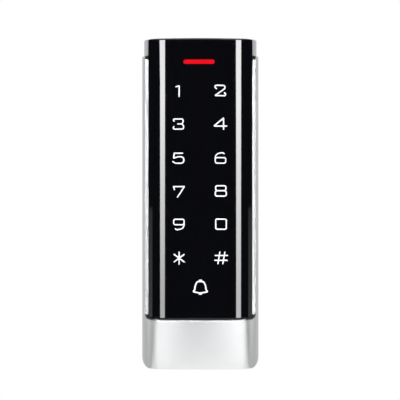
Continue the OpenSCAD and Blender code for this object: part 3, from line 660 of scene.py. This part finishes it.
# Each sign is a list of strokes: points in mm from the key's centre, then the corner radii.
signStrokes = {
    "1": [([(-1.3, 2.0), (0.12, 2.42), (0.12, -2.3)], [0.05])],
    "2": [([(-1.65, 0.85), (-2.3, 1.45), (-2.1, 2.3), (2.15, 2.3), (2.15, 0.95), (-2.35, -2.28),
            (2.15, -2.28), (2.6, -1.65), (1.95, -1.0)], [0.35, 0.35, 0.75, 0.6, 0.12, 0.35, 0.3])],
    "3": [([(-1.9, 1.3), (-2.35, 1.75), (-1.95, 2.28), (1.85, 2.28), (2.2, 1.2), (1.5, 0.06),
            (-0.3, 0.06)], [0.3, 0.3, 0.5, 0.5, 0.3]),
          ([(-0.3, 0.06), (1.6, 0.06), (2.35, -0.9), (2.15, -2.22), (-2.0, -2.22), (-2.4, -1.65),
            (-2.0, -1.15)], [0.35, 0.5, 0.6, 0.35, 0.3])],
    "4": [([(1.45, -2.5), (1.45, 2.5), (-2.85, -1.1), (2.85, -1.1)], [0.08, 0.12])],
    "5": [([(1.7, 2.22), (-1.95, 2.22), (-2.25, 0.0), (-0.3, 0.62), (2.35, 0.62), (2.35, -2.25),
            (-1.5, -2.25), (-2.55, -1.55)], [0.1, 0.1, 1.2, 1.4, 1.3, 1.0])],
    "6": [([(-2.32, -0.9), (-2.32, 1.9), (0.95, 2.4), (1.6, 2.0)], [2.2, 0.5]),
          ([(0, 0.17), (2.35, 0.17), (2.35, -2.27), (-2.32, -2.27), (-2.32, 0.17), (0, 0.17)],
           [0.8, 0.8, 0.8, 0.8])],
    "7": [([(-2.15, 0.85), (-2.35, 2.2), (2.35, 2.2), (-0.7, -2.5)], [0.1, 0.12])],
    "8": [([(0, 2.35), (2.3, 2.35), (2.3, 0.15), (-2.3, 0.15), (-2.3, 2.35), (0, 2.35)],
           [0.7, 0.95, 0.95, 0.7]),
          ([(0, 0.15), (2.45, 0.15), (2.45, -2.25), (-2.45, -2.25), (-2.45, 0.15), (0, 0.15)],
           [1.0, 0.75, 0.75, 1.0])],
    "9": [([(2.32, 0.9), (2.32, -1.9), (-0.95, -2.4), (-1.6, -2.0)], [2.2, 0.5]),
          ([(0, 2.27), (2.32, 2.27), (2.32, -0.17), (-2.35, -0.17), (-2.35, 2.27), (0, 2.27)],
           [0.8, 0.8, 0.8, 0.8])],
    "0": [([(0, 2.25), (2.35, 2.25), (2.35, -2.25), (-2.35, -2.25), (-2.35, 2.25), (0, 2.25)],
           [0.6, 0.6, 0.6, 0.6])],
    "*": [([(0.1, 2.65), (0.1, -2.65)], []), ([(-2.1, 1.65), (2.3, -1.65)], []),
          ([(2.3, 1.65), (-2.1, -1.65)], [])],
    "#": [([(-0.4, 2.55), (-1.25, -2.6)], []), ([(1.85, 2.55), (0.95, -2.6)], []),
          ([(-2.4, 1.05), (3.05, 1.05)], []), ([(-2.55, -1.1), (2.75, -1.1)], [])],
    "bell": [([(0, 2.45), (1.5, 2.45), (2.35, 0.4), (2.5, -1.0), (3.15, -2.1), (0, -2.75),
               (-3.15, -2.1), (-2.5, -1.0), (-2.35, 0.4), (-1.5, 2.45), (0, 2.45)],
              [1.2, 1.5, 1.0, 0.2, 4.0, 0.2, 1.0, 1.5, 1.2]),
             ([(-0.45, 2.95), (0.45, 2.95)], []), ([(-0.4, -3.1), (0.4, -3.1)], [])],
}

signNames = {"*": "star", "#": "hash"}


def roundedPath(points, radii):
    # Replaces each inner corner with an arc of its radius, in short steps.
    path = [Vector(points[0])]
    for before, corner, after, radius in zip(points, points[1:], points[2:], radii):
        corner = Vector(corner)
        toBefore = Vector(before) - corner
        toAfter = Vector(after) - corner
        longest = signLook["longestCut"] * min(toBefore.length, toAfter.length)
        toBefore.normalize()
        toAfter.normalize()
        half = toBefore.angle(toAfter) / 2
        cut = min(radius / math.tan(half), longest)
        trueRadius = cut * math.tan(half)
        centre = corner + (toBefore + toAfter).normalized() * (trueRadius / math.sin(half))
        start = corner + toBefore * cut - centre
        sweep = start.angle_signed(corner + toAfter * cut - centre)
        steps = max(2, math.ceil(abs(sweep) * trueRadius / signLook["arcStep"]))
        for step in range(steps + 1):
            turn = -sweep * step / steps
            path.append(centre + Vector((start.x * math.cos(turn) - start.y * math.sin(turn),
                                         start.x * math.sin(turn) + start.y * math.cos(turn))))
    path.append(Vector(points[-1]))
    return path


def distanceField(strokes, spots):
    # Distance from every point of a square grid to the nearest stroke's middle line.
    gridX, gridZ = np.meshgrid(spots, spots, indexing="ij")
    nearest = np.full(gridX.shape, np.inf)
    for points, radii in strokes:
        path = roundedPath(points, radii)
        for start, end in zip(path, path[1:]):
            run = end - start
            lengthSquared = max(run.length_squared, tiny * tiny)
            share = ((gridX - start.x) * run.x + (gridZ - start.y) * run.y) / lengthSquared
            share = np.clip(share, 0, 1)
            away = np.hypot(gridX - start.x - share * run.x, gridZ - start.y - share * run.y)
            nearest = np.minimum(nearest, away)
    return nearest


def outlineOf(field, grid, level):
    # Marching squares: the points and edges where the field crosses the level.
    spots, edges, index = [], [], {}
    leastShare = signLook["leastShare"]

    def crossing(i0, j0, i1, j1):
        key = (i0, j0, i1, j1)
        if key not in index:
            a, b = field[i0, j0] - level, field[i1, j1] - level
            share = min(max(a / (a - b), leastShare), 1 - leastShare)
            index[key] = len(spots)
            spots.append(Vector((grid[i0] + share * (grid[i1] - grid[i0]),
                                 grid[j0] + share * (grid[j1] - grid[j0]))))
        return index[key]

    inside = field < level
    for i in range(len(grid) - 1):
        for j in range(len(grid) - 1):
            corners = (inside[i, j], inside[i + 1, j], inside[i + 1, j + 1], inside[i, j + 1])
            if all(corners) or not any(corners):
                continue
            sides = ((i, j, i + 1, j), (i + 1, j, i + 1, j + 1), (i, j + 1, i + 1, j + 1),
                     (i, j, i, j + 1))
            crossed = [crossing(*side) for k, side in enumerate(sides)
                       if corners[k] != corners[(k + 1) % 4]]
            if len(crossed) == 2:
                edges.append((crossed[0], crossed[1]))
            else:
                pairs = ((0, 1), (2, 3)) if corners[1] else ((0, 3), (1, 2))
                edges.extend((crossed[a], crossed[b]) for a, b in pairs)
    return spots, edges


def fieldAt(field, place, half):
    # The field between its grid points, evenly blended.
    last = len(field) - 1
    farthest = last - 0.001  # just inside the last cell

    def gridPlace(value):
        return min(max((value + half) / (2 * half) * last, 0), farthest)

    i, j = gridPlace(place.x), gridPlace(place.y)
    i0, j0 = int(i), int(j)
    u, v = i - i0, j - j0
    return (field[i0, j0] * (1 - u) * (1 - v) + field[i0 + 1, j0] * u * (1 - v)
            + field[i0, j0 + 1] * (1 - u) * v + field[i0 + 1, j0 + 1] * u * v)


def signTriangles(label):
    # The sign's flat form: its points in mm and the triangles inside its outline.
    half = signLook["gridHalf"]
    grid = np.linspace(-half, half, int(2 * half / signLook["gridStep"]) + 1)
    level = signLook["strokeW"] * signLook["strokeShare"].get(label, 1) / 2
    field = distanceField(signStrokes[label], grid)
    spots, edges = outlineOf(field, grid, level)
    flat, _, triangles, *_ = delaunay_2d_cdt(spots, edges, [], 0, tiny)

    def insideSign(triangle):
        middle = sum((flat[k] for k in triangle), Vector((0, 0))) / 3
        return fieldAt(field, middle, half) < level

    return flat, [triangle for triangle in triangles if insideSign(triangle)]


def openMesh(nodeObject):
    bm = bmesh.new()
    bm.from_mesh(nodeObject.data)
    return bm


panelMesh = openMesh(nodes["front_panel"])
panelTree = BVHTree.FromBMesh(panelMesh)
panelMesh.free()
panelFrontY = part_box("front_panel")[0][1]


def panelFaceY(x, z):
    start = Vector((x, panelFrontY - signLook["rayStart"] * mm, z))
    return panelTree.ray_cast(start, Vector((0, 1, 0)))[0].y


def buildSign(label, keyX, keyZ, material):
    # A thin closed body of ink that follows the panel's curve.
    centreX = keyX + printShift[label][0]
    centreZ = keyZ + printShift[label][1]
    flat, kept = signTriangles(label)
    bm = bmesh.new()
    front, back = {}, {}
    for k in {k for t in kept for k in t}:
        x = (centreX + flat[k].x) * mm
        z = (centreZ + flat[k].y) * mm
        y = panelFaceY(x, z)
        front[k] = bm.verts.new((x, y - signLook["inkT"] * mm, z))
        back[k] = bm.verts.new((x, y + signLook["sunk"] * mm, z))
    sides = {}
    for a, b, c in kept:
        bm.faces.new((front[a], front[b], front[c]))
        bm.faces.new((back[c], back[b], back[a]))
        for side in ((a, b), (b, c), (c, a)):
            if sides.pop((side[1], side[0]), None) is None:
                sides[side] = True
    for a, b in sides:
        bm.faces.new((front[b], front[a], back[a], back[b]))
    bmesh.ops.recalc_face_normals(bm, faces=bm.faces)
    name = "sign_" + signNames.get(label, label)
    mesh = bpy.data.meshes.new(name)
    bm.to_mesh(mesh)
    bm.free()
    sign = bpy.data.objects.new(name, mesh)
    bpy.context.collection.objects.link(sign)
    mesh.materials.append(material)
    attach(sign, "reader")


def signFinish():
    material, tree, shader = newFinish("printedWhite", signLook["color"], signLook["roughness"])
    surface = placeGroup(tree, grainGroup, **signLook["grain"])
    dimmer = tuple(c * signLook["dimmest"] for c in signLook["glow"])
    share = remap(tree, surface["Clouds"], *noiseBand, 0, 1)
    shade = blendColors(tree, share, dimmer, signLook["glow"])
    tree.links.new(shade, shader.inputs["Emission Color"])
    setInputs(shader, Emission_Strength=signLook["glowStrength"])
    addBump(tree, shader, surface["Height"], signLook["bump"], signLook["depth"] * mm)
    return material


def keyCentres():
    # One backlight lies behind each key. Their middles, in mm, by rows from the top left.
    bm = openMesh(nodes["backlight_leds"])
    bmesh.ops.remove_doubles(bm, verts=bm.verts, dist=tiny)
    unseen = set(bm.verts)
    centres = []
    while unseen:
        waiting = [unseen.pop()]
        lamp = []
        while waiting:
            corner = waiting.pop()
            lamp.append(corner.co)
            joined = {edge.other_vert(corner) for edge in corner.link_edges} & unseen
            unseen -= joined
            waiting.extend(joined)
        xs, zs = ([place[axis] / mm for place in lamp] for axis in (0, 2))
        centres.append((round((min(xs) + max(xs)) / 2, 3), round((min(zs) + max(zs)) / 2, 3)))
    bm.free()
    return sorted(centres, key=lambda place: (-place[1], place[0]))


signMaterial = signFinish()
for label, (keyX, keyZ) in zip(keyLabels, keyCentres()):
    buildSign(label, keyX, keyZ, signMaterial)
print("stage: key signs printed")


def bareMaterial(name):
    material = bpy.data.materials.new(name)
    material.use_nodes = True
    material.node_tree.nodes.clear()
    return material, material.node_tree


def showShader(tree, kind, shader):
    output = newNode(tree, kind)
    tree.links.new(shader, output.inputs["Surface"])


def mixShaders(tree, factor, first, second):
    mix = newNode(tree, "ShaderNodeMixShader")
    for slot, socket in enumerate((factor, first, second)):
        tree.links.new(socket, mix.inputs[slot])
    return mix.outputs[0]


def glowMaterial(name, low, high, fromZ, toZ):
    # A plain lamp face whose level runs evenly from its lower to its upper end.
    material, tree = bareMaterial(name)
    level = remap(tree, splitCoords(tree)["Z"], fromZ, toZ, low, high)
    lamp = newNode(tree, "ShaderNodeEmission")
    tree.links.new(level, lamp.inputs["Strength"])
    showShader(tree, "ShaderNodeOutputMaterial", lamp.outputs[0])
    return material


def flatPiece(name, corners, material):
    mesh = bpy.data.meshes.new(name)
    mesh.from_pydata(corners, [], [tuple(range(len(corners)))])
    mesh.materials.append(material)
    piece = bpy.data.objects.new(name, mesh)
    bpy.context.collection.objects.link(piece)
    return piece


def lampCard(name, corners, material):
    card = flatPiece(name, corners, material)
    card.visible_camera = False
    card.visible_shadow = False


# The two tall lamps that the panel mirrors as bright strips: outlines in x and z.
stripCards = {
    "y": -0.60,
    "fade": (-0.107, 0.11),
    "left": {
        "level": (14.6, 28.6),
        "outline": ((-0.1533, 0.26), (-0.1542, -0.14), (-0.1674, -0.14), (-0.1675, 0.131),
                    (-0.1692, 0.18), (-0.1692, 0.26)),
    },
    "right": {
        "level": (17.4, 29.8),
        "outline": ((0.1547, 0.26), (0.1698, 0.26), (0.1689, -0.14), (0.1554, -0.14),
                    (0.1554, 0.02), (0.1547, 0.16)),
    },
}


def buildStripCards():
    for name in ("left", "right"):
        strip = stripCards[name]
        material = glowMaterial(name + "StripGlow", *strip["level"], *stripCards["fade"])
        lampCard(name + "Strip", [(x, stripCards["y"], z) for x, z in strip["outline"]], material)


# Plain cards: the path seen from above, the height, and the levels of the lower and upper ends.
# A mirrored card stands on the left too.
lowZ = (-0.24, -0.13)
cards = {
    "sideWall": {"path": ((0.5, -0.31), (0.5, 0.02)), "z": (-0.128, -0.006), "level": (1.4, 0.8),
                 "mirrored": True},
    "lowWall": {"path": ((0.40, -0.40), (0.5, -0.28), (0.5, 0.05)), "z": lowZ, "level": (0.2, 0.2),
                "mirrored": True},
    "leftShoulder": {"path": ((-0.40, -0.40), (-0.22, -0.56)), "z": lowZ, "level": (2.0, 2.0)},
    "rightShoulder": {"path": ((0.22, -0.56), (0.40, -0.40)), "z": lowZ, "level": (2.05, 2.05)},
    "leftEdge": {"path": ((-0.26, -0.565), (-0.19, -0.59)), "z": lowZ, "level": (5.7, 5.7)},
    "rightEdge": {"path": ((0.19, -0.59), (0.265, -0.565)), "z": lowZ, "level": (6.0, 6.0)},
    "lowFront": {"path": ((-0.06, -0.6), (0.06, -0.6)), "z": (-0.235, -0.15), "level": (3.3, 0.0)},
    "highFront": {"path": ((-0.35, -0.5), (0.35, -0.5)), "z": (0.27, 0.6), "level": (1.35, 1.35)},
}


def buildCards():
    for name, card in cards.items():
        low, high = card["z"]
        material = glowMaterial(name + "Glow", *card["level"], low, high)
        sides = {"R": 1, "L": -1} if card.get("mirrored") else {"": 1}
        for tag, side in sides.items():
            for step, ends in enumerate(zip(card["path"], card["path"][1:])):
                start, end = ((side * x, y) for x, y in ends)
                corners = [(*start, low), (*end, low), (*end, high), (*start, high)]
                lampCard(f"{name}{tag}{step}", corners, material)


ceiling = {"x": 0.4, "y": (-0.5, 0.1), "z": 0.6, "level": 1.9}


def buildCeiling():
    x, z = ceiling["x"], ceiling["z"]
    near, far = ceiling["y"]
    material = glowMaterial("ceilingGlow", ceiling["level"], ceiling["level"], 0, z)
    lampCard("ceiling", [(-x, near, z), (x, near, z), (x, far, z), (-x, far, z)], material)


# The floor's level as the part mirrors it runs from its middle to its sides.
floorLook = {"z": -0.20, "radius": 0.45, "sides": 64, "color": (0.8, 0.8, 0.8, 1),
             "mirrored": (1.1, 0.4), "mirroredX": (0.06, 0.15)}


def buildFloor():
    material, tree = bareMaterial("paleFloor")
    path = newNode(tree, "ShaderNodeLightPath").outputs
    plain = mathNode(tree, "MAXIMUM", path["Is Camera Ray"], path["Is Transmission Ray"])
    seen = mathNode(tree, "MAXIMUM", plain, path["Is Glossy Ray"])
    matt = newNode(tree, "ShaderNodeBsdfDiffuse")
    setInputs(matt, Color=floorLook["color"])
    white = newNode(tree, "ShaderNodeEmission")
    mirrored = remap(tree, mathNode(tree, "ABSOLUTE", splitCoords(tree)["X"]),
                     *floorLook["mirroredX"], *floorLook["mirrored"])
    tree.links.new(mathNode(tree, "MAXIMUM", mirrored, plain), white.inputs["Strength"])
    fromAbove = mixShaders(tree, seen, matt.outputs[0], white.outputs[0])
    # The floor is clear from below, so that a low camera sees the underside.
    clear = newNode(tree, "ShaderNodeBsdfTransparent")
    underneath = newNode(tree, "ShaderNodeNewGeometry").outputs["Backfacing"]
    seenThrough = mathNode(tree, "MULTIPLY", underneath, path["Is Camera Ray"])
    showShader(tree, "ShaderNodeOutputMaterial",
               mixShaders(tree, seenThrough, fromAbove, clear.outputs[0]))
    turns = (2 * math.pi * side / floorLook["sides"] for side in range(floorLook["sides"]))
    radius = floorLook["radius"]
    corners = [(radius * math.cos(turn), radius * math.sin(turn), floorLook["z"]) for turn in turns]
    flatPiece("floor", corners, material)


# The room is white to the camera, and mirrored dark in front of the part and pale behind it.
roomLook = {
    "inFront": (0.0405, 0.04275, 0.05175),
    "behind": (0.58, 0.58, 0.58),
    "turnY": (-0.12, 0.4),
    "diffuse": (0.42, 0.42, 0.42),
}


def buildRoom():
    world = bpy.data.worlds.new("studioRoom")
    bpy.context.scene.world = world
    world.use_nodes = True
    tree = world.node_tree
    tree.nodes.clear()
    path = newNode(tree, "ShaderNodeLightPath").outputs
    direction = newNode(tree, "ShaderNodeSeparateXYZ")
    tree.links.new(newNode(tree, "ShaderNodeTexCoord").outputs["Generated"], direction.inputs[0])
    behind = remap(tree, direction.outputs["Y"], *roomLook["turnY"], 0, 1)
    mirrored = blendColors(tree, behind, roomLook["inFront"], roomLook["behind"])
    lit = blendColors(tree, path["Is Glossy Ray"], roomLook["diffuse"], mirrored)
    seen = mathNode(tree, "MAXIMUM", path["Is Camera Ray"], path["Is Transmission Ray"])
    background = newNode(tree, "ShaderNodeBackground")
    tree.links.new(blendColors(tree, seen, lit, (1, 1, 1)), background.inputs["Color"])
    showShader(tree, "ShaderNodeOutputWorld", background.outputs[0])


softLights = {
    "keyFill": {"place": (0.0, -0.9, 0.35), "size": 0.7, "power": 4.5},
    "leftFill": {"place": (-0.9, -0.15, 0.15), "size": 0.7, "power": 3.0},
    "rightFill": {"place": (0.9, -0.15, 0.15), "size": 0.7, "power": 3.0},
    "topSoft": {"place": (0.0, -0.1, 0.9), "size": 0.6, "power": 3.0},
    "backSoft": {"place": (0.0, 0.9, 0.3), "size": 0.8, "power": 6.0},
}


def buildSoftLights():
    for name, light in softLights.items():
        lamp = bpy.data.lights.new(name, "AREA")
        lamp.shape = "SQUARE"
        lamp.size = light["size"]
        lamp.energy = light["power"]
        piece = bpy.data.objects.new(name, lamp)
        piece.location = light["place"]
        piece.rotation_euler = (-Vector(light["place"])).to_track_quat("-Z", "Y").to_euler()
        piece.visible_camera = False
        piece.visible_glossy = False
        bpy.context.collection.objects.link(piece)


# The distance from the part's front, the camera's place, and how tall the view is there.
cameraLook = {"distance": 0.400, "x": -0.00016, "z": 0.0017, "viewHeight": 0.1781, "sensor": 36,
              "clipStart": 0.01}


def buildCamera():
    camera = bpy.data.cameras.new("camera")
    camera.sensor_width = cameraLook["sensor"]
    camera.lens = cameraLook["sensor"] * cameraLook["distance"] / cameraLook["viewHeight"]
    camera.clip_start = cameraLook["clipStart"]
    piece = bpy.data.objects.new("camera", camera)
    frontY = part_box("housing")[0][1]
    piece.location = (cameraLook["x"], frontY - cameraLook["distance"], cameraLook["z"])
    piece.rotation_euler = (math.pi / 2, 0, 0)
    bpy.context.collection.objects.link(piece)
    bpy.context.scene.camera = piece


buildStripCards()
buildCards()
buildCeiling()
buildFloor()
buildRoom()
buildSoftLights()
buildCamera()
bpy.context.scene.view_settings.view_transform = "Standard"
print("stage: studio set")
